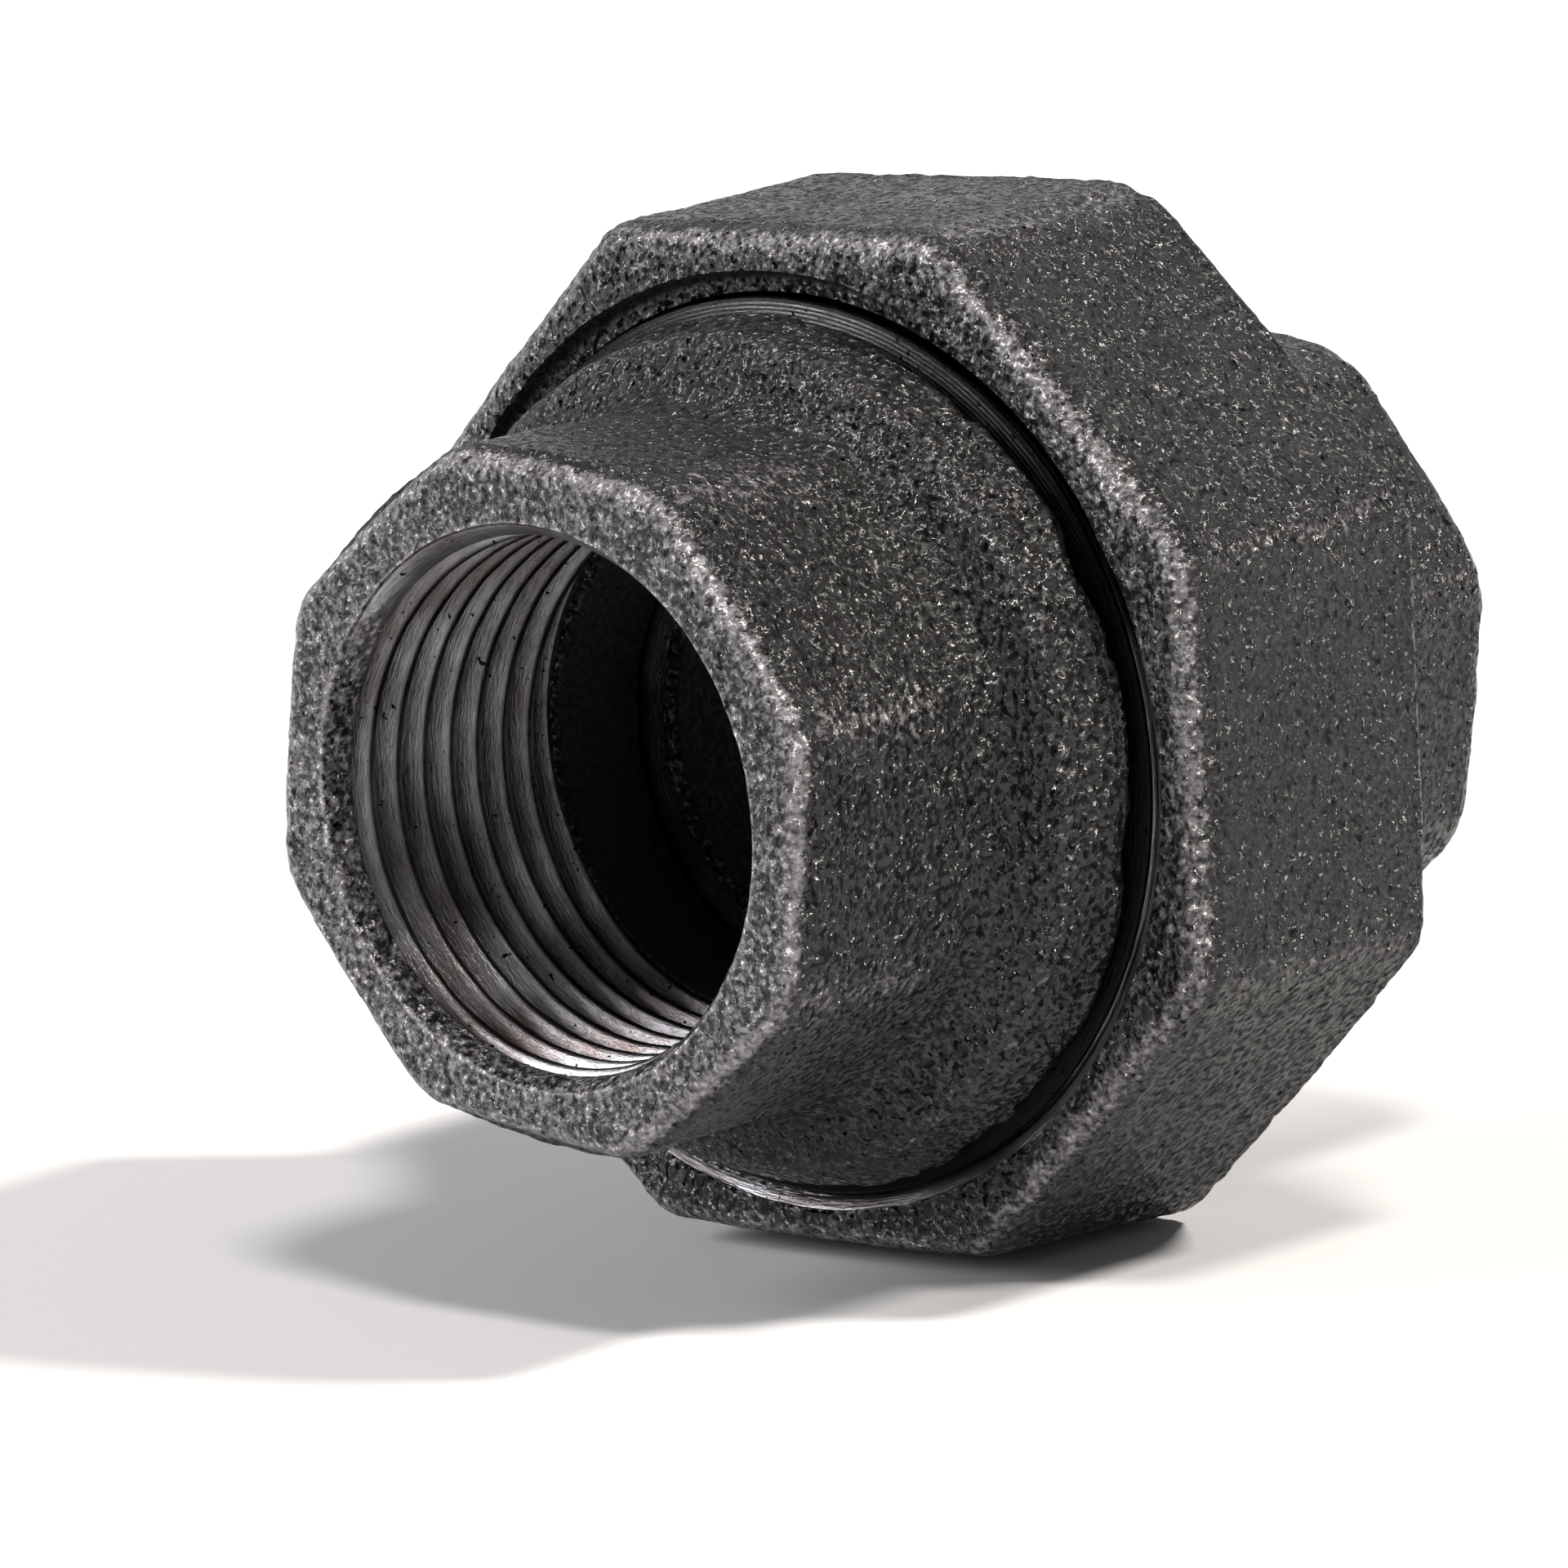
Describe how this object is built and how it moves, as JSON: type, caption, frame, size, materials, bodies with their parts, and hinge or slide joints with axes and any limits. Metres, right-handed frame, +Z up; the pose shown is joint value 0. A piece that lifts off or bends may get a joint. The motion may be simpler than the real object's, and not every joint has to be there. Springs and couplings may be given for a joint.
{
  "type": "pipe union",
  "caption": "Pipe union with internally threaded eight-sided ends; a large octagonal nut screws onto the head and draws the captive tail's cone into its seat.",
  "frame": {"origin": "middle of the union on the pipe axis, halfway between the two end faces", "axes": "+X along the pipe axis towards the head's mouth, +Z up, with the nut resting on a flat that faces -Z"},
  "size_m": [0.052, 0.0484, 0.0484],
  "materials": {
    "head_iron": "black sand-cast skin, bright on worn edges; threads and seat turned to dark bare metal",
    "tail_iron": "black sand-cast skin, bright on worn edges; threads and seat turned to dark bare metal",
    "nut_iron": "black sand-cast skin, bright on worn edges; thread turned to dark bare metal"
  },
  "bodies": {
    "head": {"head": "head_iron"},
    "tail": {"tail": "tail_iron"},
    "nut": {"nut": "nut_iron"}
  },
  "joints": [
    {"name": "tail_draw", "type": "slide", "parent": "head", "child": "tail", "axis": [-1, 0, 0], "range_m": [0, 0.00693]},
    {"name": "nut_turn", "type": "hinge", "parent": "tail", "child": "nut", "pos_m": [0, 0, 0], "axis": [-1, 0, 0], "range_deg": [0, 1080]}
  ],
  "couplings": [
    {"joint": "tail_draw", "follows": "nut_turn", "m_per_rad": 0.00036749}
  ]
}
